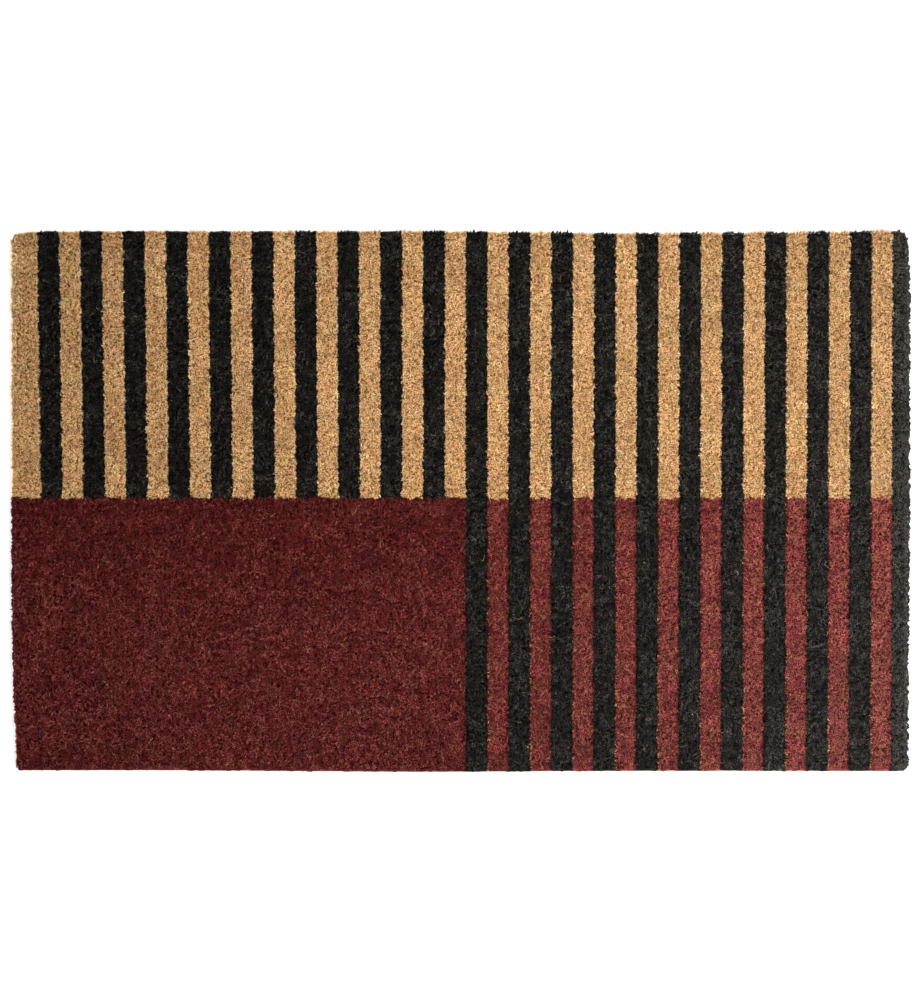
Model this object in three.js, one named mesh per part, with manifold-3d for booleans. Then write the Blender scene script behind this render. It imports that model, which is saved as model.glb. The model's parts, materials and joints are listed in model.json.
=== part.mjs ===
// A striped coir door mat: cut coconut-fibre pile standing in a flat vinyl backing.
//
// Millimetres. +X runs along the mat to the right, +Y to its rear edge and +Z up.
// The origin is the middle of the underside, on the floor.
//
// The backing is one sheet. The pile is a set of bands, each one all the fibre of one colour
// that stands together, so every band is a solid of its own on top of the backing.

import * as THREE from 'three';
import { mergeVertices } from 'three/addons/utils/BufferGeometryUtils.js';
import Module from 'manifold-3d';

const wasm = await Module();
wasm.setup();

// ---- driving dimensions ----

const MAT_LENGTH = 750;
const MAT_WIDTH = 450;
const MAT_HEIGHT = 16;
const BACKING_HEIGHT = 3;
const CORNER_RADIUS = 4;
const PILE_ROUNDING = 2; // the fibre tips round off along the mat's own edges
const CLEARANCE = 0.3; // left between solids that touch on the real mat

// ---- the pattern: light and black stripes, with a plain block in the front left ----

const STRIPE_COUNT = 21;
const SHORT_BLACK_COUNT = 10; // black stripes that stop at the block
const STRIPE_PITCH = 35.7;
const BLACK_WIDTH = 18.4;
const FIRST_BLACK_X = -352.8; // left side of the first black stripe
const SPLIT_Y = 2.2; // where the rear and front colours meet
const LEFT_LEAN = 0.0165; // sideways drift per millimetre of depth, at the left edge
const RIGHT_LEAN = -0.004; // and at the right edge
const LEAN_PIVOT_Y = 111; // the depth at which the stripe positions above hold

// ---- sizes that follow from them ----

const HALF_LENGTH = MAT_LENGTH / 2;
const HALF_WIDTH = MAT_WIDTH / 2;
const PILE_BOTTOM = BACKING_HEIGHT + CLEARANCE;
const BEYOND = 10; // how far a cutter reaches past the pile

const COLOURS = {
  vinyl: 0x232225,
  natural: 0xbe945f,
  black: 0x26231f,
  burgundy: 0x53231f,
  brick: 0x7c3a33,
};

function fabric(colour) {
  return new THREE.MeshStandardMaterial({ color: colour, roughness: 0.95, metalness: 0 });
}

function vinyl(colour) {
  return new THREE.MeshStandardMaterial({ color: colour, roughness: 0.6, metalness: 0 });
}

// A rectangle with rounded corners, centred on the origin.
function roundedRectangle(length, width, radius) {
  const x = length / 2;
  const y = width / 2;
  const shape = new THREE.Shape();
  shape.moveTo(-x + radius, -y);
  shape.lineTo(x - radius, -y);
  shape.absarc(x - radius, -y + radius, radius, -Math.PI / 2, 0, false);
  shape.lineTo(x, y - radius);
  shape.absarc(x - radius, y - radius, radius, 0, Math.PI / 2, false);
  shape.lineTo(-x + radius, y);
  shape.absarc(-x + radius, y - radius, radius, Math.PI / 2, Math.PI, false);
  shape.lineTo(-x, -y + radius);
  shape.absarc(-x + radius, -y + radius, radius, Math.PI, Math.PI * 1.5, false);
  return shape;
}

function toSolid(geometry) {
  const plain = geometry.clone();
  plain.deleteAttribute('normal');
  plain.deleteAttribute('uv');
  const merged = mergeVertices(plain);
  const mesh = new wasm.Mesh({
    numProp: 3,
    vertProperties: new Float32Array(merged.attributes.position.array),
    triVerts: new Uint32Array(merged.index.array),
  });
  return new wasm.Manifold(mesh);
}

function toGeometry(solid) {
  const mesh = solid.getMesh();
  const geometry = new THREE.BufferGeometry();
  geometry.setAttribute('position', new THREE.BufferAttribute(mesh.vertProperties, 3));
  geometry.setIndex(new THREE.BufferAttribute(mesh.triVerts, 1));
  return geometry;
}

// The whole pile as one block, with its upper outer edge rounded.
function pileBlock() {
  const outline = roundedRectangle(MAT_LENGTH, MAT_WIDTH, CORNER_RADIUS);
  const block = new THREE.ExtrudeGeometry(outline, {
    depth: MAT_HEIGHT - 2 * PILE_ROUNDING,
    bevelThickness: PILE_ROUNDING,
    bevelSize: PILE_ROUNDING,
    bevelOffset: -PILE_ROUNDING,
    bevelSegments: 3,
    curveSegments: 4,
  });
  block.translate(0, 0, PILE_ROUNDING);
  return toSolid(block);
}

// How far a stripe drifts to +X for each millimetre towards the front, at this place across the mat.
function lean(x) {
  const edgeLean = x < 0 ? LEFT_LEAN : RIGHT_LEAN;
  return edgeLean * Math.abs(x) / HALF_LENGTH;
}

// A stripe boundary followed to the depth y from its place at the pivot depth.
function follow(x, y) {
  return x + lean(x) * (LEAN_PIVOT_Y - y);
}

// One band of the pile: the block between two stripe boundaries and two depths.
function pileBand(pile, leftX, rightX, frontY, rearY) {
  const left = leftX + CLEARANCE / 2;
  const right = rightX - CLEARANCE / 2;
  const outline = new THREE.Shape([
    new THREE.Vector2(follow(left, frontY), frontY),
    new THREE.Vector2(follow(right, frontY), frontY),
    new THREE.Vector2(follow(right, rearY), rearY),
    new THREE.Vector2(follow(left, rearY), rearY),
  ]);
  const cutter = new THREE.ExtrudeGeometry(outline, {
    depth: MAT_HEIGHT + BEYOND,
    bevelEnabled: false,
  });
  cutter.translate(0, 0, PILE_BOTTOM);
  return toGeometry(pile.intersect(toSolid(cutter)));
}

// Names the piece and stands it at its own place, with its geometry centred on its foot.
function piece(name, geometry, material) {
  geometry.computeBoundingBox();
  const foot = geometry.boundingBox.getCenter(new THREE.Vector3());
  foot.z = geometry.boundingBox.min.z;
  geometry.translate(-foot.x, -foot.y, -foot.z);
  geometry.computeVertexNormals();
  const mesh = new THREE.Mesh(geometry, material);
  mesh.name = name;
  mesh.position.copy(foot);
  return mesh;
}

function numbered(name, index) {
  return `${name}_${String(index + 1).padStart(2, '0')}`;
}

function backingSheet() {
  const outline = roundedRectangle(MAT_LENGTH, MAT_WIDTH, CORNER_RADIUS);
  const sheet = new THREE.ExtrudeGeometry(outline, {
    depth: BACKING_HEIGHT,
    bevelEnabled: false,
    curveSegments: 6,
  });
  return piece('backing_sheet', sheet, vinyl(COLOURS.vinyl));
}

// Places across the mat, at the pivot depth.
function blackLeft(index) {
  return FIRST_BLACK_X + index * STRIPE_PITCH;
}

function blackRight(index) {
  const isLast = index === STRIPE_COUNT - 1;
  return isLast ? HALF_LENGTH + BEYOND : blackLeft(index) + BLACK_WIDTH;
}

function lightLeft(index) {
  return index === 0 ? -HALF_LENGTH - BEYOND : blackRight(index - 1);
}

// Depths at which a band ends, past the mat's edge or half a clearance short of the split.
const REAR_Y = HALF_WIDTH + BEYOND;
const FRONT_Y = -HALF_WIDTH - BEYOND;
const SPLIT_REAR_SIDE_Y = SPLIT_Y + CLEARANCE / 2;
const SPLIT_FRONT_SIDE_Y = SPLIT_Y - CLEARANCE / 2;

function naturalStripes(pile) {
  const group = new THREE.Group();
  for (let i = 0; i < STRIPE_COUNT; i += 1) {
    const band = pileBand(pile, lightLeft(i), blackLeft(i), SPLIT_REAR_SIDE_Y, REAR_Y);
    group.add(piece(numbered('natural_stripe', i), band, fabric(COLOURS.natural)));
  }
  return group;
}

function shortBlackStripes(pile) {
  const group = new THREE.Group();
  for (let i = 0; i < SHORT_BLACK_COUNT; i += 1) {
    const band = pileBand(pile, blackLeft(i), blackRight(i), SPLIT_REAR_SIDE_Y, REAR_Y);
    group.add(piece(numbered('short_black_stripe', i), band, fabric(COLOURS.black)));
  }
  return group;
}

function longBlackStripes(pile) {
  const group = new THREE.Group();
  for (let i = SHORT_BLACK_COUNT; i < STRIPE_COUNT; i += 1) {
    const band = pileBand(pile, blackLeft(i), blackRight(i), FRONT_Y, REAR_Y);
    const name = numbered('long_black_stripe', i - SHORT_BLACK_COUNT);
    group.add(piece(name, band, fabric(COLOURS.black)));
  }
  return group;
}

function brickStripes(pile) {
  const group = new THREE.Group();
  for (let i = SHORT_BLACK_COUNT + 1; i < STRIPE_COUNT; i += 1) {
    const band = pileBand(pile, lightLeft(i), blackLeft(i), FRONT_Y, SPLIT_FRONT_SIDE_Y);
    const name = numbered('brick_stripe', i - SHORT_BLACK_COUNT - 1);
    group.add(piece(name, band, fabric(COLOURS.brick)));
  }
  return group;
}

function burgundyBlock(pile) {
  const right = blackLeft(SHORT_BLACK_COUNT);
  const band = pileBand(pile, lightLeft(0), right, FRONT_Y, SPLIT_FRONT_SIDE_Y);
  return piece('burgundy_block', band, fabric(COLOURS.burgundy));
}

const pile = pileBlock();
const mat = new THREE.Group();
mat.add(backingSheet());
mat.add(naturalStripes(pile));
mat.add(shortBlackStripes(pile));
mat.add(longBlackStripes(pile));
mat.add(brickStripes(pile));
mat.add(burgundyBlock(pile));

export default mat;
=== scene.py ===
"""A striped coir door mat: a pile of real fibres, band by band, standing in a vinyl backing.

Metres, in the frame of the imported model: +X to the right, +Y to the rear edge and +Z up.
"""

import json
from collections import namedtuple

import bpy
import numpy as np
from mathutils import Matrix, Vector


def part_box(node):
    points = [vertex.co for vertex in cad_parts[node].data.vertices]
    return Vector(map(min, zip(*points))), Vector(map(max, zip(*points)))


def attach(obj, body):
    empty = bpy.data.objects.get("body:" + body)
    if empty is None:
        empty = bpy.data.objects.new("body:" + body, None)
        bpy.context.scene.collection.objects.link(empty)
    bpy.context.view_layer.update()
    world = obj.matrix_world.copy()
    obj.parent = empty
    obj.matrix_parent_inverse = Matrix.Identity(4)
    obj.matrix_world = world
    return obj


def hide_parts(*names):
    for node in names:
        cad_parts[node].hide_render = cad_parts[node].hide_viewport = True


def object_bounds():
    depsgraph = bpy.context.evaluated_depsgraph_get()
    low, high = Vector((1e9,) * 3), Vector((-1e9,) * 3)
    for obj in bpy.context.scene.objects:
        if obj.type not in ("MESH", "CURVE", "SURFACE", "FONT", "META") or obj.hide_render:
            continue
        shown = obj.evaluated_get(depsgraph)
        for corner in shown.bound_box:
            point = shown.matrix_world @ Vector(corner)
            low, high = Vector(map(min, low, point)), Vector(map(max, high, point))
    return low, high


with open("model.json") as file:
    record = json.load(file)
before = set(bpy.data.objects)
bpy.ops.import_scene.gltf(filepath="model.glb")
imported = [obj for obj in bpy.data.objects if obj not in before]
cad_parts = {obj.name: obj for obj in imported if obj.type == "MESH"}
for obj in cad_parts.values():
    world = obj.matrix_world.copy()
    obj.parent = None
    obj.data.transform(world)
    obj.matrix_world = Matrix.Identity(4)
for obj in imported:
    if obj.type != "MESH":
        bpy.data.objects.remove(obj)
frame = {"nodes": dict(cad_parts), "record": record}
CAD_LOW, CAD_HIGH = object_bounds()

MM = 0.001
SEED = 20
LATTICE = 256  # the number of cells each way in a random lattice, before it repeats

# ---- the mat's own sizes, from the frame ----

HALF_LENGTH = CAD_HIGH.x
HALF_WIDTH = CAD_HIGH.y
PILE_TOP = CAD_HIGH.z
VINYL_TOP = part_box("backing_sheet")[1].z
PILE_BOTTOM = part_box("burgundy_block")[0].z
SPLIT_Y = (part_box("burgundy_block")[1].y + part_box("natural_stripe_01")[0].y) / 2
PILE_HEIGHT = PILE_TOP - VINYL_TOP

# ---- the mat's outline, which is a little uneven ----

FRONT_LIP = 1.7 * MM  # the vinyl stands out at the front, where the pile is trimmed back
FRONT_TILT = 0.4 * MM
FRONT_BOW = 1.0 * MM
FRONT_BOW_X = -30 * MM
FRONT_BOW_HALF_SPAN = 200 * MM
REAR_UNDERCUT = 0.6 * MM  # the pile hangs over the vinyl at the rear
REAR_DIP = 1.8 * MM
REAR_DIP_X = 170 * MM
REAR_DIP_HALF_SPAN = 225 * MM
LEFT_TILT = 0.5 * MM
RIGHT_SWELL = 0.6 * MM
RIGHT_TAPER = 1.4 * MM
RIGHT_TAPER_START_Y = 0.12 * HALF_WIDTH  # where the right side starts to taper, towards the front
RIGHT_TAPER_LENGTH = 0.8 * HALF_WIDTH
FRONT_LEFT_PULL = 4.4 * MM
FRONT_LEFT_PULL_LENGTH = 145 * MM
REAR_LEFT_PULL = 2.2 * MM
REAR_LEFT_PULL_LENGTH = 34 * MM
REAR_RIGHT_PULL = 2.6 * MM
REAR_RIGHT_PULL_LENGTH = 62 * MM
REAR_LEFT_RADIUS = 4 * MM
REAR_RIGHT_RADIUS = 6 * MM
FRONT_LEFT_RADIUS = 2.5 * MM
FRONT_RIGHT_RADIUS = 4.5 * MM
FRONT_CUT_ROUGHNESS = 0.2 * MM

# ---- how far the tufts reach past the cut base on each side, and how unevenly ----

LEFT_OVERHANG = 0.5 * MM
LEFT_TUFT_DEPTH = 0.9 * MM
LEFT_TUFT_SIZE = 2.8 * MM
RIGHT_OVERHANG = 0.4 * MM
RIGHT_TUFT_DEPTH = 1.1 * MM
RIGHT_TUFT_SIZE = 3.2 * MM
FRONT_TRIM = 1.1 * MM  # the front's tufts stay behind the base
FRONT_TUFT_DEPTH = 0.6 * MM
FRONT_TUFT_SIZE = 2.5 * MM
REAR_OVERHANG = 0.4 * MM
REAR_TUFT_DEPTHS = (1.7 * MM, 3.8 * MM)  # at the left and right ends
REAR_TUFT_SIZE = 2.9 * MM

# ---- the pile ----

FIBRE_SPACING = 0.68 * MM
FIBRE_RADIUS = 0.24 * MM
LOWER_SPACING = 1.3 * MM
LOWER_RADIUS = 0.30 * MM
EDGE_FIBRE_RADIUS = 0.27 * MM
JITTER = 0.6  # how unevenly the fibres are spaced, as a share of their spacing
FOOT_MARGIN = 0.6 * MM  # how far inside the cut base they stand
LYING_SHARE = 0.14  # of the fibres, bent over so far that they lie along the top
ROOT_DEPTH = 1.2 * MM  # how deep a standing fibre's root is sunk in the bed
BED_TOP = PILE_TOP - 5.0 * MM
BED_LUMPS = 0.9 * MM
BED_STEP = 2.0 * MM
STRIP_WIDTH = 32 * MM  # a wider band is built as several strips, side by side
BED_INSET = 0.1 * MM  # how far the bed stays inside the outline of the tufts
REAR_SLANT = 1.2 * MM  # how far the rear edge's outermost fibres lean to the right
EDGE_ROUNDING = 1.0 * MM  # how far the pile falls off at its edges
HOLE_CELL = 6.0 * MM
WALL_FIBRES_PER_M = 10000
FRINGE_FIBRES_PER_M = 4500
LONG_FRINGE_SHARE = 0.08  # of the fringe, fibres that stand out past the rest
LOOSE_FIBRES = 110
LOOSE_FIBRE_POINTS = 9
LOOSE_MARGIN = 8 * MM  # how far from the mat's sides they start
SIDE_WANDER = 1.0 * MM  # how far the colours stray over a stripe's sides
SPLIT_WANDER = 1.7 * MM  # and over the split between the rear and front colours
STRIPE_SIDE = 1.6 * MM  # how far into a stripe its sides look different
SIDE_FLARE = 1.7  # how fast the sides widen from the cut base to the tufts, going up


def noise(x, y, size, seed):
    """A smooth random field from -1 to 1, with lumps of about this size."""
    lattice = np.random.default_rng(SEED + seed).uniform(-1, 1, (LATTICE, LATTICE))
    column = np.floor(x / size).astype(int)
    row = np.floor(y / size).astype(int)
    across = x / size - column
    deep = y / size - row
    across = across * across * (3 - 2 * across)
    deep = deep * deep * (3 - 2 * deep)

    def at(i, j):
        return lattice[(column + i) % LATTICE, (row + j) % LATTICE]

    near = at(0, 0) * (1 - across) + at(1, 0) * across
    far = at(0, 1) * (1 - across) + at(1, 1) * across
    return near * (1 - deep) + far * deep


def lumps(place, size, seed):
    """The same along a line."""
    return noise(place, 0 * place, size, seed)


def spiky(place, size, seed):
    """The same with narrow peaks and round valleys."""
    return 1 - 2 * np.abs(lumps(place, size, seed))


def teeth(place, spacing, seed):
    """From 0 to 1 along a line: the uneven ends of tufts that lean forwards, about this far apart."""
    phase = place / spacing + 0.9 * lumps(place, 2 * spacing, seed)
    height = 0.65 + 0.35 * lumps(place, 1.3 * spacing, seed + 20)
    return (phase % 1) * height


def bump(distance, half_span):
    """1 at distance 0, falling smoothly to 0 at half_span."""
    share = np.clip(np.abs(distance) / half_span, 0, 1)
    return (1 - share * share) ** 2


# ---- the outline: where the cut base ends, and where the tufts above it reach to ----


def pull(distance, length, amount):
    """How far a side is pulled in, this far from its end, where this length of it is pulled in."""
    share = np.clip(1 - distance / length, 0, 1)
    return amount * share * share


def corner_drop(distance, radius):
    """How far a rounded corner falls back from its side, this far from the side's end."""
    into = np.clip(radius - distance, 0, radius)
    return radius - np.sqrt(radius * radius - into * into)


def left_base(y):
    tilt = LEFT_TILT * y / HALF_WIDTH
    return -HALF_LENGTH - tilt + pull(y + HALF_WIDTH, FRONT_LEFT_PULL_LENGTH, FRONT_LEFT_PULL)


def right_base(y):
    taper = RIGHT_TAPER * np.clip((RIGHT_TAPER_START_Y - y) / RIGHT_TAPER_LENGTH, 0, 1)
    rear_pull = pull(HALF_WIDTH - y, REAR_RIGHT_PULL_LENGTH, REAR_RIGHT_PULL)
    return HALF_LENGTH + RIGHT_SWELL - taper - rear_pull


def front_base(x):
    drop = corner_drop(x + HALF_LENGTH - FRONT_LEFT_PULL, FRONT_LEFT_RADIUS)
    drop = drop + corner_drop(HALF_LENGTH + RIGHT_SWELL - RIGHT_TAPER - x, FRONT_RIGHT_RADIUS)
    bow = FRONT_BOW * bump(x - FRONT_BOW_X, FRONT_BOW_HALF_SPAN)
    rough_cut = FRONT_CUT_ROUGHNESS * lumps(x, 5 * MM, seed=17)
    return -HALF_WIDTH - FRONT_LIP - FRONT_TILT * x / HALF_LENGTH - bow + rough_cut + drop


def rear_base(x):
    drop = corner_drop(x + HALF_LENGTH, REAR_LEFT_RADIUS)
    drop = drop + corner_drop(HALF_LENGTH + RIGHT_SWELL - REAR_RIGHT_PULL - x, REAR_RIGHT_RADIUS)
    drop = drop + pull(x + HALF_LENGTH, REAR_LEFT_PULL_LENGTH, REAR_LEFT_PULL)
    return HALF_WIDTH - REAR_UNDERCUT - REAR_DIP * bump(x - REAR_DIP_X, REAR_DIP_HALF_SPAN) - drop


def left_reach(y):
    return left_base(y) - LEFT_OVERHANG - LEFT_TUFT_DEPTH * spiky(y, LEFT_TUFT_SIZE, seed=1)


def right_reach(y):
    return right_base(y) + RIGHT_OVERHANG + RIGHT_TUFT_DEPTH * spiky(y, RIGHT_TUFT_SIZE, seed=2)


def front_reach(x):
    return front_base(x) + FRONT_TRIM + FRONT_TUFT_DEPTH * lumps(x, FRONT_TUFT_SIZE, seed=3)


def rear_reach(x):
    raggedness = np.interp(x, (-HALF_LENGTH, HALF_LENGTH), REAR_TUFT_DEPTHS)
    return rear_base(x) + REAR_OVERHANG + raggedness * teeth(x, REAR_TUFT_SIZE, seed=4)


# One side of the mat. half is half its length, and upright is True for the left and right sides.
# out is +1 where outwards is a rising coordinate, and spikes is how far single fibres stand out
# past the tufts, at the side's low and high ends.
Side = namedtuple("Side", "base reach half upright out spikes")
SIDES = [
    Side(left_base, left_reach, HALF_WIDTH, True, -1, (0.6 * MM, 0.6 * MM)),
    Side(right_base, right_reach, HALF_WIDTH, True, 1, (0.7 * MM, 0.7 * MM)),
    Side(front_base, front_reach, HALF_LENGTH, False, -1, (0.05 * MM, 0.05 * MM)),
    Side(rear_base, rear_reach, HALF_LENGTH, False, 1, (0.5 * MM, 0.9 * MM)),
]

# ---- the strips that the pile is built in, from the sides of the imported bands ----


# left and right are the x of a strip's sides, each at its front and at its rear.
Strip = namedtuple("Strip", "name node slot front rear left right")


def packed_strips(node, slot):
    """The strips of one packed band."""
    points = np.array([v.co for v in frame["nodes"][node].data.vertices])
    front = points[:, 1].min()
    rear = points[:, 1].max()
    tolerance = 0.1 * MM
    at_front = points[points[:, 1] < front + tolerance, 0]
    at_rear = points[points[:, 1] > rear - tolerance, 0]
    left = np.array([at_front.min(), at_rear.min()])
    right = np.array([at_front.max(), at_rear.max()])
    count = max(1, round((right - left).mean() / STRIP_WIDTH))
    edges = [left + (right - left) * i / count for i in range(count + 1)]
    names = [f"{node}_pile"] if count == 1 else [f"{node}_pile_{i + 1:02d}" for i in range(count)]
    return [Strip(names[i], node, slot, front, rear, edges[i], edges[i + 1]) for i in range(count)]


def side_at(strip, side, y):
    share = (y - strip.front) / (strip.rear - strip.front)
    return side[0] + (side[1] - side[0]) * share


STRIPS = []
for subpart in frame["record"]["subparts"]:
    if subpart["node"] != "backing_sheet":
        STRIPS += packed_strips(subpart["node"], subpart["material_slot"])
LAST_STRIP = max(STRIPS, key=lambda strip: strip.right.mean())


def owners(x, y):
    """The place in STRIPS of the strip that each point is in."""
    found = np.zeros(len(x), int)
    rear_strips = [i for i, s in enumerate(STRIPS) if s.rear > SPLIT_Y + MM]
    front_strips = [i for i, s in enumerate(STRIPS) if s.front < SPLIT_Y - MM]
    for inside, here in ((y >= SPLIT_Y, rear_strips), (y < SPLIT_Y, front_strips)):
        here.sort(key=lambda i: side_at(STRIPS[i], STRIPS[i].left, SPLIT_Y))
        passed = np.zeros(inside.sum(), int)
        for i in here[1:]:
            passed += x[inside] > side_at(STRIPS[i], STRIPS[i].left, y[inside])
        found[inside] = np.array(here)[passed]
    return found


# ---- meshes ----

SIDES_OF_STRAND = 3
BED_MAP_SHARE = 0.15  # the bottom part of a strip's map holds its bed, and the rest its fibres

# A part of a piece's mesh. along runs from 0 at the root to 1 at the tip and sets the painted root
# shade:
# the lower it is, the darker the colour is painted. bare is 1 where there is no dye.
Part = namedtuple("Part", "vertices triangles uv along shade bare")


def strands(paths, radius, along, shade, bare, map_low=0.0, map_high=1.0):
    """Three-sided strands along paths (n, k, 3), with a pointed root and a cut tip.

    along is (k,), and radius, shade and bare are (n,). Each strand has a cell of its own in the map,
    between the heights map_low and map_high.
    """
    n, k, _ = paths.shape
    rings = k - 1
    rng = np.random.default_rng(SEED + n)
    tangent = np.empty((n, rings, 3))
    tangent[:, :-1] = paths[:, 2:] - paths[:, :-2]
    tangent[:, -1] = paths[:, -1] - paths[:, -2]
    side = np.cross(tangent, rng.normal(size=(n, 1, 3)))
    side /= np.linalg.norm(side, axis=2, keepdims=True) + 1e-12
    other = np.cross(tangent, side)
    other /= np.linalg.norm(other, axis=2, keepdims=True) + 1e-12
    angles = np.arange(SIDES_OF_STRAND)[:, None] * 2 * np.pi / SIDES_OF_STRAND
    ring = side[:, :, None] * np.cos(angles) + other[:, :, None] * np.sin(angles)
    ring = paths[:, 1:, None] + ring * radius[:, None, None, None]
    vertices = np.concatenate([paths[:, :1], ring.reshape(n, rings * SIDES_OF_STRAND, 3)], axis=1)

    last = 1 + SIDES_OF_STRAND * (rings - 1)
    one = [(last, last + 1, last + 2)]
    for a in range(SIDES_OF_STRAND):
        b = (a + 1) % SIDES_OF_STRAND
        one.append((0, 1 + b, 1 + a))
        for low in range(1, last, SIDES_OF_STRAND):
            high = low + SIDES_OF_STRAND
            one.append((low + a, low + b, high + b))
            one.append((low + a, high + b, high + a))
    triangles = np.arange(n)[:, None, None] * vertices.shape[1] + np.array(one)

    per_ring = [1] + [SIDES_OF_STRAND] * rings
    columns = max(1, int(np.ceil(np.sqrt(n / (map_high - map_low)))))
    rows = max(1, int(np.ceil(n / columns)))
    # Within its cell a strand leaves a margin. The cut tip's middle corner stands above the others.
    inner_u = np.array([0.5] + [0.15, 0.5, 0.85] * rings)
    inner_v = np.repeat(np.linspace(0.15, 0.75, k), per_ring)
    inner_v[-2] = 0.9
    u = (np.arange(n)[:, None] % columns + inner_u) / columns
    v = map_low + (map_high - map_low) * (np.arange(n)[:, None] // columns + inner_v) / rows
    uv = np.stack([u, v], axis=2)

    count = vertices.shape[1]
    return Part(
        vertices.reshape(-1, 3),
        triangles.reshape(-1, 3),
        uv.reshape(-1, 2),
        np.tile(np.repeat(along, per_ring), n),
        np.repeat(shade, count),
        np.repeat(bare, count),
    )


def loft(rings, uv, shade):
    """A closed body through rings (n, m, 3), capped at both ends."""
    n, m, _ = rings.shape
    i = np.arange(n - 1)[:, None] * m
    a = np.arange(m)
    b = (a + 1) % m
    fan = np.arange(1, m - 1)
    end = (n - 1) * m
    triangles = np.concatenate([
        np.stack([i + a, i + m + b, i + m + a], axis=2).reshape(-1, 3),
        np.stack([i + a, i + b, i + m + b], axis=2).reshape(-1, 3),
        np.stack([0 * fan, fan + 1, fan], axis=1),
        np.stack([end + 0 * fan, end + fan, end + fan + 1], axis=1),
    ])
    zero = np.zeros(n * m)
    return Part(rings.reshape(-1, 3), triangles, uv.reshape(-1, 2), zero, zero + shade, zero)


def make_piece(name, parts, material):
    vertices = np.concatenate([part.vertices for part in parts])
    starts = np.cumsum([0] + [len(part.vertices) for part in parts[:-1]])
    triangles = np.concatenate([part.triangles + start for part, start in zip(parts, starts)])
    corners = triangles.astype(np.int32).ravel()
    mesh = bpy.data.meshes.new(name)
    mesh.vertices.add(len(vertices))
    mesh.vertices.foreach_set("co", vertices.astype(np.float32).ravel())
    mesh.loops.add(len(corners))
    mesh.loops.foreach_set("vertex_index", corners)
    mesh.polygons.add(len(triangles))
    mesh.polygons.foreach_set("loop_start", np.arange(0, len(corners), 3, dtype=np.int32))
    mesh.polygons.foreach_set("use_smooth", np.ones(len(triangles), bool))
    uv = np.concatenate([part.uv for part in parts])
    mesh.uv_layers.new(name="OFBake").uv.foreach_set("vector", uv[corners].astype(np.float32).ravel())
    for attribute in ("along", "shade", "bare"):
        values = np.concatenate([getattr(part, attribute) for part in parts]).astype(np.float32)
        mesh.attributes.new(attribute, "FLOAT", "POINT").data.foreach_set("value", values)
    mesh.update(calc_edges=True)
    mesh.materials.append(material)
    piece = bpy.data.objects.new(name, mesh)
    bpy.context.scene.collection.objects.link(piece)
    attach(piece, "root")
    return piece


# ---- materials ----


def new_material(name):
    material = bpy.data.materials.new(name)
    material.use_nodes = True
    return material, material.node_tree, material.node_tree.nodes["Principled BSDF"]


def add_node(tree, kind, inputs, **settings):
    """Adds a node. inputs are values or sockets, by the name or place of the node's own sockets."""
    made = tree.nodes.new(kind)
    for key, value in settings.items():
        setattr(made, key, value)
    for key, value in inputs.items():
        if isinstance(value, bpy.types.NodeSocket):
            tree.links.new(value, made.inputs[key])
        else:
            made.inputs[key].default_value = value
    return made


def attribute(tree, name):
    return add_node(tree, "ShaderNodeAttribute", {}, attribute_name=name).outputs["Fac"]


def noise_node(tree, scale, detail=2.0):
    """Noise over the piece's own coordinates, in metres."""
    place = add_node(tree, "ShaderNodeTexCoord", {}).outputs["Object"]
    inputs = {"Vector": place, "Scale": scale, "Detail": detail}
    return add_node(tree, "ShaderNodeTexNoise", inputs).outputs["Fac"]


def map_range(tree, value, low, high, start=0.0, end=1.0):
    """Maps start to end of the value to low to high, and holds it there beyond them."""
    inputs = {"Value": value, "From Min": start, "From Max": end, "To Min": low, "To Max": high}
    return add_node(tree, "ShaderNodeMapRange", inputs).outputs["Result"]


def ramp(tree, value, stops):
    made = add_node(tree, "ShaderNodeValToRGB", {"Fac": value})
    elements = made.color_ramp.elements
    while len(elements) < len(stops):
        elements.new(0.5)
    for element, (place, colour) in zip(elements, stops):
        element.position = place
        element.color = (*colour, 1)
    return made.outputs["Color"]


def multiplied(tree, first, second):
    return add_node(tree, "ShaderNodeMath", {0: first, 1: second}, operation="MULTIPLY").outputs[0]


def added(tree, first, second):
    return add_node(tree, "ShaderNodeMath", {0: first, 1: second}, operation="ADD").outputs[0]


def add_surface(tree, shader, roughness, grain_scale, grain_depth):
    """Uneven roughness and a fine grain."""
    low, high = roughness
    uneven = map_range(tree, noise_node(tree, scale=900), low, high)
    tree.links.new(uneven, shader.inputs["Roughness"])
    grain = {"Strength": 0.5, "Distance": grain_depth, "Height": noise_node(tree, grain_scale)}
    tree.links.new(add_node(tree, "ShaderNodeBump", grain).outputs["Normal"], shader.inputs["Normal"])


NATURAL_SHADES = [
    (0.0, (0.35, 0.155, 0.045)),
    (0.35, (0.68, 0.37, 0.145)),
    (0.75, (0.84, 0.52, 0.235)),
    (1.0, (0.95, 0.74, 0.45)),
]
BLACK_SHADES = [
    (0.0, (0.0006, 0.0006, 0.0005)),
    (0.5, (0.0068, 0.0058, 0.0043)),
    (0.8, (0.030, 0.0255, 0.0198)),
    (1.0, (0.14, 0.128, 0.112)),
]
BURGUNDY_SHADES = [
    (0.0, (0.014, 0.0008, 0.0008)),
    (0.5, (0.126, 0.0090, 0.0081)),
    (0.8, (0.25, 0.0350, 0.0290)),
    (1.0, (0.44, 0.145, 0.125)),
]
BRICK_SHADES = [
    (0.0, (0.040, 0.0025, 0.002)),
    (0.5, (0.225, 0.032, 0.024)),
    (1.0, (0.62, 0.180, 0.145)),
]


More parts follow.
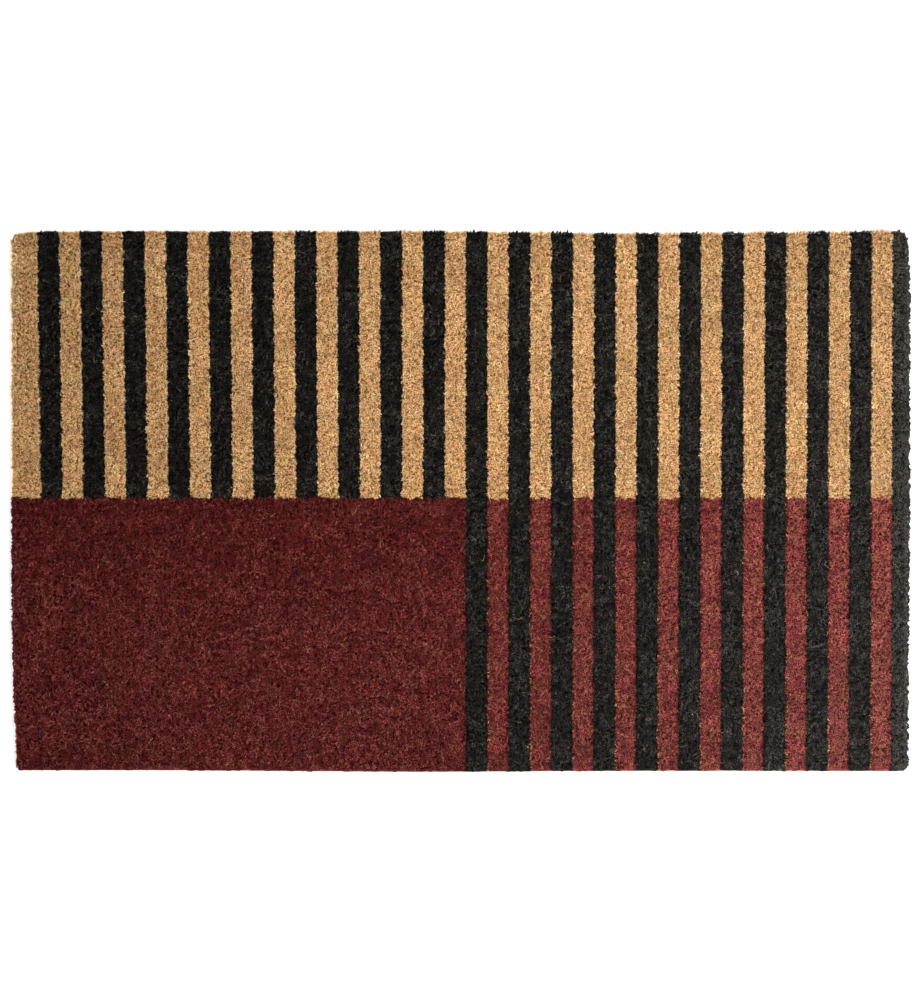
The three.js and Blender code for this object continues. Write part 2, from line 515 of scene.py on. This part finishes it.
def coir(name, shades, hue_swing):
    """Coir: each fibre has a shade of its own, and bare fibres are undyed. Each fibre is painted darker
    towards its root, as painted shade deep in the pile.
    """
    material, tree, shader = new_material(name)
    own = ramp(tree, attribute(tree, "shade"), shades)
    bare = ramp(tree, attribute(tree, "shade"), NATURAL_SHADES)
    chosen = {0: attribute(tree, "bare"), 6: own, 7: bare}
    colour = add_node(tree, "ShaderNodeMix", chosen, data_type="RGBA").outputs[2]
    # Painted shade: the colour is painted darker towards each fibre's root and on the bed, speckled by
    # noise, standing in for the shade deep in the pile.
    speckle = map_range(tree, noise_node(tree, scale=1100), low=-0.35, high=0.35, start=0.3, end=0.7)
    painted_root_shade = map_range(tree, added(tree, attribute(tree, "along"), speckle), low=0.2, high=1.0)
    blotch = map_range(tree, noise_node(tree, scale=38, detail=3.0), low=0.72, high=1.28)
    streak = map_range(tree, noise_node(tree, scale=1400), low=0.85, high=1.15)
    hue_noise = noise_node(tree, scale=70)
    hue = map_range(tree, hue_noise, 0.5 - hue_swing, 0.5 + hue_swing, start=0.3, end=0.7)
    value = multiplied(tree, multiplied(tree, painted_root_shade, blotch), streak)
    shift = {"Hue": hue, "Value": value, "Color": colour}
    shifted = add_node(tree, "ShaderNodeHueSaturation", shift).outputs["Color"]
    tree.links.new(shifted, shader.inputs["Base Color"])
    add_surface(tree, shader, roughness=(0.30, 0.52), grain_scale=2500, grain_depth=0.15 * MM)
    shader.inputs["Specular IOR Level"].default_value = 0.15
    return material


def vinyl():
    """Matt black vinyl with a fine pebble."""
    material, tree, shader = new_material("backing_vinyl")
    shades = [(0.3, (0.012, 0.012, 0.013)), (0.7, (0.024, 0.024, 0.026))]
    colour = ramp(tree, noise_node(tree, scale=60, detail=4.0), shades)
    tree.links.new(colour, shader.inputs["Base Color"])
    add_surface(tree, shader, roughness=(0.48, 0.66), grain_scale=1600, grain_depth=0.3 * MM)
    return material


MATERIALS = {
    "coir_natural": coir("coir_natural", NATURAL_SHADES, hue_swing=0.008),
    "coir_black": coir("coir_black", BLACK_SHADES, hue_swing=0.05),
    "coir_burgundy": coir("coir_burgundy", BURGUNDY_SHADES, hue_swing=0.005),
    "coir_brick": coir("coir_brick", BRICK_SHADES, hue_swing=0.011),
    "backing_vinyl": vinyl(),
}


# ---- fibres ----


def foot_places(spacing, rng):
    """Uneven places for fibres to stand, all over the mat."""
    across = np.arange(-HALF_LENGTH - MM, HALF_LENGTH + MM, spacing)
    deep = np.arange(-HALF_WIDTH - MM, HALF_WIDTH + MM, spacing)
    x, y = (grid.ravel() for grid in np.meshgrid(across, deep))
    x = x + rng.uniform(-JITTER, JITTER, len(x)) * spacing
    y = y + rng.uniform(-JITTER, JITTER, len(y)) * spacing
    kept = (x > left_base(y) + FOOT_MARGIN) & (x < right_base(y) - FOOT_MARGIN)
    kept &= (y > front_base(x) + FOOT_MARGIN) & (y < rear_base(x) - FOOT_MARGIN)
    return x[kept], y[kept]


def needles(x, y, heading, reach, root, tip):
    """Straight fibres, as paths of root and tip."""
    ends = np.array([0.0, 1.0])
    paths = np.empty((len(x), 2, 3))
    paths[:, :, 0] = x[:, None] + (reach * np.cos(heading))[:, None] * ends
    paths[:, :, 1] = y[:, None] + (reach * np.sin(heading))[:, None] * ends
    paths[:, :, 2] = np.stack([root, tip], axis=1)
    return paths


def standing_fibres():
    """The fibres that stand in the bed. Most lean a little, and some lie along the top.

    Neighbours head much the same way, which makes tufts of them.
    """
    rng = np.random.default_rng(SEED)
    x, y = foot_places(FIBRE_SPACING, rng)
    n = len(x)
    lying = rng.random(n) < LYING_SHARE
    heading = 1.6 * np.pi * noise(x, y, 3.5 * MM, seed=5) + rng.normal(0, 1.3, n)
    lying_reach = rng.uniform(2.0, 4.2, n)
    standing_reach = np.clip(rng.normal(1.4, 0.7, n), 0.1, 3.5)
    reach = np.where(lying, lying_reach, standing_reach) * MM
    level = PILE_TOP - 0.6 * MM + 0.3 * MM * noise(x, y, 4 * MM, seed=6)
    tip = level + rng.normal(0, 0.3, n) * MM
    root = np.where(lying, tip - rng.uniform(1.2, 2.6, n) * MM, BED_TOP - ROOT_DEPTH)
    return needles(x, y, heading, reach, root, tip)


def lower_fibres():
    """The bent and crossing fibres lower down, which are seen between the standing ones."""
    rng = np.random.default_rng(SEED + 6)
    x, y = foot_places(LOWER_SPACING, rng)
    n = len(x)
    heading = rng.uniform(0, 2 * np.pi, n)
    reach = rng.uniform(2.0, 4.0, n) * MM
    root = BED_TOP + rng.uniform(-0.6, 1.6, n) * MM
    tip = root + rng.uniform(0.2, 1.4, n) * MM
    inset = 1.2 * MM
    return hold_inside(needles(x, y, heading, reach, root, tip), -inset, -inset)


def clear_of_holes(paths):
    """True for the fibres that pass no hole. There is one small hole between tufts in each cell."""
    rng = np.random.default_rng(SEED + 5)
    centres = rng.uniform(0.15, 0.85, (LATTICE, LATTICE, 2)) * HOLE_CELL
    radii = rng.uniform(0.2, 0.95, (LATTICE, LATTICE)) * MM
    clear = np.ones(len(paths), bool)
    for share in (0.4, 0.7, 1.0):
        point = paths[:, 0, :2] * (1 - share) + paths[:, -1, :2] * share
        cell = np.floor(point / HOLE_CELL).astype(int)
        column, row = (cell % LATTICE).T
        away = np.linalg.norm(point - cell * HOLE_CELL - centres[column, row], axis=1)
        clear &= away > radii[column, row]
    return clear


def side_paths(side, place, slip, z, inset):
    """Paths on one side of the mat: place is (n,), and slip, z and inset are (n, 3).

    slip is how far the root, knee and tip lie from place along the side, and inset how far inside.
    """
    along_side = place[:, None] + slip
    grown = np.clip((z - VINYL_TOP) / PILE_HEIGHT * SIDE_FLARE, 0, 1)
    edge = side.base(along_side) + (side.reach(along_side) - side.base(along_side)) * grown
    outward = edge - side.out * inset
    paths = np.empty((len(place), 3, 3))
    paths[:, :, 0] = outward if side.upright else along_side
    paths[:, :, 1] = along_side if side.upright else outward
    paths[:, :, 2] = z
    return paths


def wall_fibres(side, rng):
    """The fibres of a cut side, from the vinyl up and outwards."""
    n = int(2 * side.half * WALL_FIBRES_PER_M)
    place = rng.uniform(-side.half, side.half, n)
    share = np.array([0.0, 0.5, 1.0])
    slip = rng.normal(0, 0.4, n) * MM + 0.5 * MM * lumps(place, 6 * MM, seed=7)
    low = VINYL_TOP + rng.uniform(-0.3, 5.0, n) * MM
    high = VINYL_TOP + PILE_HEIGHT * rng.beta(4, 1.6, n)
    z = low[:, None] + (high - low)[:, None] * share
    inset = rng.uniform(-0.3, 1.0, n)[:, None] * MM * (1 - share)
    inset = inset + np.abs(rng.normal(0, 0.3, (n, 1))) * MM
    return side_paths(side, place, slip[:, None] * share, z, inset)


def fringe_fibres(side, rng):
    """The outermost fibres of the top, which lean outwards and end unevenly."""
    n = int(2 * side.half * FRINGE_FIBRES_PER_M)
    place = rng.uniform(-side.half, side.half, n)
    slip = rng.normal(0, 0.8, n) * MM + 0.9 * MM * lumps(place, 5 * MM, seed=8)
    if side.base is rear_base:
        slip = 0.5 * slip + REAR_SLANT
    root = PILE_TOP - rng.uniform(3.5, 7.5, n) * MM
    tip = PILE_TOP - EDGE_ROUNDING - rng.uniform(0.0, 3.5, n) * MM
    long = rng.random(n) < LONG_FRINGE_SHARE
    short = rng.normal(-0.3, 0.2, n) + 0.9 * lumps(place + slip, 1.2 * MM, seed=18)
    unevenness = np.interp(place, (-side.half, side.half), side.spikes)
    spike = unevenness * np.where(long, rng.exponential(0.8, n) + 0.3, short)
    knee = root * 0.4 + tip * 0.6
    z = np.stack([root, knee, tip], axis=1)
    slip = slip[:, None] * np.array([0.0, 0.4, 1.0])
    root_inset = rng.uniform(1.2, 3.2, n) * MM
    knee_inset = rng.uniform(0.5, 1.3, n) * MM
    inset = np.stack([root_inset, knee_inset, -spike], axis=1)
    return side_paths(side, place, slip, z, inset)


def past(edge, place, slack):
    """How far the farthest point of each fibre lies past an edge, less its slack, or 0."""
    return np.maximum((place - edge).max(axis=1) - slack, 0)


def hold_inside(paths, slack_x, slack_y):
    """Moves fibres back within the outline of tufts, less the slack that they have each way."""
    x, y = paths[:, :, 0], paths[:, :, 1]
    shift_x = past(-left_reach(y), -x, slack_x) - past(right_reach(y), x, slack_x)
    x += shift_x[:, None]
    shift_y = past(-front_reach(x), -y, slack_y) - past(rear_reach(x), y, slack_y)
    y += shift_y[:, None]
    return paths


def round_off(paths):
    """Lowers the tips of two-point fibres along the pile's edges."""
    x, y = paths[:, :, 0], paths[:, :, 1]
    gap = np.minimum(x - left_reach(y), right_reach(y) - x)
    gap = np.minimum(gap, np.minimum(y - front_reach(x), rear_reach(x) - y))
    paths[:, :, 2] -= EDGE_ROUNDING * bump(np.maximum(gap, 0), 3 * MM) * np.array([0.0, 1.0])
    return paths


def edge_fibres():
    """The fibres of the mat's four sides: paths of root, knee and tip."""
    rng = np.random.default_rng(SEED + 1)
    made = []
    for side in SIDES:
        slack = (2 * MM, 0) if side.upright else (0, 2 * MM)
        for make in (wall_fibres, fringe_fibres):
            made.append(hold_inside(make(side, rng), *slack))
    paths = np.concatenate(made)
    x = paths[:, :, 0]
    foremost = front_base(x) - 2 * MM
    rearmost = rear_base(x) + 5 * MM
    paths[:, :, 1] = np.clip(paths[:, :, 1], foremost, rearmost)
    return paths


def inner_fibres():
    """The standing fibres less those in the holes, ending unevenly along the mat's sides."""
    rng = np.random.default_rng(SEED + 2)
    paths = standing_fibres()
    paths = paths[clear_of_holes(paths)]
    slack = rng.normal(-0.3, 0.3, len(paths)) * MM
    return round_off(hold_inside(paths, slack, slack))


# A set of fibres: x and y are where each takes its colour from, and owner is the strip there.
Fibres = namedtuple("Fibres", "paths along x y owner shade radius")


def sorted_out(paths, along, radius, rng):
    """Gives each fibre its strip, its shade and its thickness."""
    n = len(paths)
    seen = 0.3 * paths[:, 0] + 0.7 * paths[:, -1]
    stray_x = SIDE_WANDER * noise(seen[:, 0], seen[:, 1], 2.6 * MM, seed=11)
    stray_y = SPLIT_WANDER * noise(seen[:, 0], seen[:, 1], 3.2 * MM, seed=12)
    x = seen[:, 0] + stray_x + rng.normal(0, 0.3, n) * MM
    y = seen[:, 1] + stray_y + rng.normal(0, 0.3, n) * MM
    clump = 0.19 * noise(x, y, 2.5 * MM, seed=13) + 0.07 * noise(x, y, 8 * MM, seed=15)
    shade = rng.beta(1.8, 1.7, n) + clump
    thickness = radius * np.clip(rng.normal(1.0, 0.22, n), 0.5, 1.6)
    return Fibres(paths, along, x, y, owners(x, y), shade, thickness)


rng = np.random.default_rng(SEED + 3)
FIBRE_SETS = [
    # Painted shade: the lower fibres' along stops at 0.45, so they are painted darker, as fibres deep in
    # the pile.
    sorted_out(lower_fibres(), (0.0, 0.45), LOWER_RADIUS, rng),
    sorted_out(inner_fibres(), (0.1, 1.0), FIBRE_RADIUS, rng),
    sorted_out(edge_fibres(), (0.1, 0.6, 1.0), EDGE_FIBRE_RADIUS, rng),
]


def side_tone_and_painted_light(strip, x, y):
    """Lighter along the sides of an undyed stripe and darker along those of a dyed one.

    The brick red and the black are also painted lighter to the right, and the burgundy to the front:
    painted light and sheen from the right and the front. The last black strip, which is the mat's right
    side, is painted paler
    than the others: a painted sheen on that edge.
    """
    left = x - side_at(strip, strip.left, y)
    right = side_at(strip, strip.right, y) - x
    nearness = bump(np.maximum(np.minimum(left, right), 0), STRIPE_SIDE)
    # Painted sheen: the strip at the mat's right edge is painted paler, as the light that this edge
    # catches.
    if strip is LAST_STRIP:
        return 0.28 - 0.25 * bump(np.maximum(left, 0), STRIPE_SIDE)
    # Painted light: the burgundy is painted lighter towards the front.
    if strip.slot == "coir_burgundy":
        return 0.03 - 0.10 * bump(SPLIT_Y - y, 110 * MM)
    # Painted light: the brick red is painted lighter to the right.
    if strip.slot == "coir_brick":
        return 0.25 * (x / HALF_LENGTH - 0.5) - 0.2 * nearness
    # Painted sheen: the black is painted lighter to the right.
    if strip.slot == "coir_black":
        return 0.10 * np.maximum(x, 0) / HALF_LENGTH - 0.2 * nearness
    return 0.25 * nearness


def bare_fibres(strip, x, y):
    """1 for the few fibres that the dye missed, mostly along the left side of a brick stripe's front."""
    chance = np.full(len(x), 0.0001 if strip.slot == "coir_black" else 0.0006)
    if strip.slot == "coir_brick":
        to_front = np.clip((SPLIT_Y - y) / HALF_WIDTH - 0.2, 0, 1)
        beside_left = x - side_at(strip, strip.left, y) < 0.9 * MM
        chance += np.where(beside_left, 0.06 + 0.45 * to_front, 0)
    return (rng.random(len(x)) < chance).astype(float)


def bed(strip):
    """The dense lower pile of a strip: a block with a lumpy top, which the fibres stand in."""
    rows = max(2, int((strip.rear - strip.front) / BED_STEP))
    columns = max(2, int((strip.right - strip.left).mean() / BED_STEP))
    share = np.linspace(0, 1, rows + 1)
    y = strip.front + (strip.rear - strip.front) * share
    left = side_at(strip, strip.left, y)
    right = side_at(strip, strip.right, y)
    left = np.where(left < -HALF_LENGTH + MM, left_reach(y) + BED_INSET, left)
    right = np.where(right > HALF_LENGTH - MM, right_reach(y) - BED_INSET, right)
    across = np.concatenate([[0], np.linspace(0, 1, columns + 1), [1]])
    x = left[:, None] + (right - left)[:, None] * across
    front = front_reach(x) + BED_INSET if strip.front < -HALF_WIDTH + MM else strip.front
    rear = rear_base(x) if strip.rear > HALF_WIDTH - MM else strip.rear
    y = front + (rear - front) * share[:, None] + 0 * x
    z = BED_TOP + BED_LUMPS * noise(x, y, 3 * MM, seed=14)
    z[:, [0, -1]] = PILE_BOTTOM
    rings = np.stack([x, y, z], axis=2)
    uv = np.empty((rows + 1, columns + 3, 2))
    uv[:, :, 0] = share[:, None]
    uv[:, :, 1] = np.linspace(0, 0.95 * BED_MAP_SHARE, columns + 3)
    shade = 0.35 + 0.35 * noise(x, y, 1.6 * MM, seed=16)
    # Painted shade: loft gives the bed an along of 0, so it is painted with the darkest root shade.
    return loft(rings, uv, shade.ravel())


def strip_fibres(strip, fibres, mine, map_low, map_high):
    """One set's fibres in a strip, as a part of the strip's mesh."""
    x = fibres.x[mine]
    y = fibres.y[mine]
    paths = fibres.paths[mine]
    radius = fibres.radius[mine]
    shades = np.clip(fibres.shade[mine] + side_tone_and_painted_light(strip, x, y), 0, 1)
    bare = bare_fibres(strip, x, y)
    return strands(paths, radius, fibres.along, shades, bare, map_low, map_high)


for index, strip in enumerate(STRIPS):
    parts = [bed(strip)]
    chosen = [fibres.owner == index for fibres in FIBRE_SETS]
    counts = [mine.sum() for mine in chosen]
    borders = BED_MAP_SHARE + (1 - BED_MAP_SHARE) * np.cumsum([0] + counts) / sum(counts)
    for fibres, mine, map_low, map_high in zip(FIBRE_SETS, chosen, borders, borders[1:]):
        if mine.any():
            parts.append(strip_fibres(strip, fibres, mine, map_low, map_high))
    piece = make_piece(strip.name, parts, MATERIALS[strip.slot])
    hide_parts(strip.node)


def loose_fibres():
    """Pale curled fibres that have worked loose and lie on the pile."""
    rng = np.random.default_rng(SEED + 4)
    n = LOOSE_FIBRES
    k = LOOSE_FIBRE_POINTS
    x = rng.uniform(-HALF_LENGTH + LOOSE_MARGIN, HALF_LENGTH - LOOSE_MARGIN, n)
    y = rng.uniform(-HALF_WIDTH + LOOSE_MARGIN, HALF_WIDTH - LOOSE_MARGIN, n)
    heading = rng.uniform(0, 2 * np.pi, n)
    curl = rng.normal(0, 0.15, n)
    step = rng.uniform(0.3, 0.9, n) * MM
    paths = np.empty((n, k, 3))
    for i in range(k):
        paths[:, i] = np.stack([x, y, PILE_TOP + rng.normal(0.0, 0.12, n) * MM], axis=1)
        heading = heading + curl + rng.normal(0, 0.12, n)
        x = x + step * np.cos(heading)
        y = y + step * np.sin(heading)
    shades = rng.uniform(0.4, 1.0, n)
    thickness = rng.uniform(0.03, 0.07, n) * MM
    made = strands(paths, thickness, np.ones(k), shades, np.ones(n))
    return make_piece("loose_fibres", [made], MATERIALS["coir_natural"])


loose = loose_fibres()


# ---- the backing ----

WAFFLE_STEP = 3 * MM
WAFFLE_DEPTH = 0.25 * MM


def backing():
    """The vinyl sheet: cut sides that follow the outline, and a shallow waffle underneath."""
    rows = int(2 * HALF_WIDTH / WAFFLE_STEP)
    columns = int(2 * HALF_LENGTH / WAFFLE_STEP)
    share_y = np.linspace(0, 1, rows + 1)[:, None]
    share_x = np.linspace(0, 1, columns + 1)[None, :]
    flat_y = (2 * share_y - 1) * HALF_WIDTH
    x = left_base(flat_y) + (right_base(flat_y) - left_base(flat_y)) * share_x
    y = front_base(x) + (rear_base(x) - front_base(x)) * share_y
    odd = (np.arange(rows + 1)[:, None] + np.arange(columns + 1)[None, :]) % 2
    under = np.stack([x, y, WAFFLE_DEPTH * odd], axis=2)
    over = np.stack([x, y, VINYL_TOP + 0 * x], axis=2)
    rings = np.concatenate([under[:, ::-1], over], axis=1)
    uv = np.empty((rows + 1, 2 * columns + 2, 2))
    uv[:, :, 0] = np.linspace(0.01, 0.99, rows + 1)[:, None]
    uv[:, :, 1] = np.linspace(0.01, 0.99, 2 * columns + 2)
    made = loft(rings, uv, shade=0.0)
    return make_piece("backing_vinyl_sheet", [made], MATERIALS["backing_vinyl"])


sheet = backing()
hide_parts("backing_sheet")


# ---- floor, light and camera ----

FLOOR_HALF = 12.0
FLOOR_Z = -0.2 * MM
FLOOR_GLOW = 0.4  # keeps the floor white where the mat shades it
FLOOR_COLOUR = (0.93, 0.93, 0.93, 1)
FRAME_HEIGHT = 836.1 * MM  # how much of the mat's plane the picture's long side covers
LENS = 120.0
SENSOR = 36.0
AIM = Vector((1.25 * MM, 0.63 * MM, PILE_TOP))


def floor():
    corners = [(-1, -1), (1, -1), (1, 1), (-1, 1)]
    mesh = bpy.data.meshes.new("floor")
    points = [(x * FLOOR_HALF, y * FLOOR_HALF, FLOOR_Z) for x, y in corners]
    mesh.from_pydata(points, [], [(0, 1, 2, 3)])
    material, _, shader = new_material("floor_white")
    shader.inputs["Base Color"].default_value = FLOOR_COLOUR
    shader.inputs["Roughness"].default_value = 0.9
    shader.inputs["Specular IOR Level"].default_value = 0.1
    shader.inputs["Emission Color"].default_value = (1, 1, 1, 1)
    shader.inputs["Emission Strength"].default_value = FLOOR_GLOW
    mesh.materials.append(material)
    made = bpy.data.objects.new("floor", mesh)
    bpy.context.scene.collection.objects.link(made)
    return made


def area_light(name, place, aim, size, power, diffuse, glossy):
    data = bpy.data.lights.new(name, "AREA")
    data.shape = "DISK"
    data.size = size
    data.energy = power
    made = bpy.data.objects.new(name, data)
    made.location = place
    made.rotation_mode = "QUATERNION"
    made.rotation_quaternion = (Vector(aim) - Vector(place)).to_track_quat("-Z", "Y")
    made.visible_camera = False
    made.visible_diffuse = diffuse
    made.visible_glossy = glossy
    bpy.context.scene.collection.objects.link(made)


def surroundings(strength):
    """An even white light from all round, which isn't mirrored in the fibres."""
    world = bpy.data.worlds.new("studio")
    world.use_nodes = True
    background = world.node_tree.nodes["Background"]
    background.inputs["Color"].default_value = (1, 1, 1, 1)
    background.inputs["Strength"].default_value = strength
    world.cycles_visibility.glossy = False
    bpy.context.scene.world = world


def camera():
    """Straight above the mat, looking down."""
    data = bpy.data.cameras.new("camera")
    data.lens = LENS
    data.sensor_width = SENSOR
    data.clip_end = 100
    made = bpy.data.objects.new("camera", data)
    made.location = AIM + Vector((0, 0, FRAME_HEIGHT * LENS / SENSOR))
    bpy.context.scene.collection.objects.link(made)
    bpy.context.scene.camera = made


stage_floor = floor()
surroundings(strength=0.9)
area_light(
    "key",
    place=(0.16, 0.0, 0.85),
    aim=(0.16, 0.0, 0.0),
    size=0.6,
    power=14,
    diffuse=True,
    glossy=False,
)
area_light(
    "sheen",
    place=(0.66, -0.56, 0.42),
    aim=(0.12, -0.05, 0.0),
    size=0.4,
    power=40,
    diffuse=False,
    glossy=True,
)
camera()
bpy.context.scene.view_settings.view_transform = "Standard"
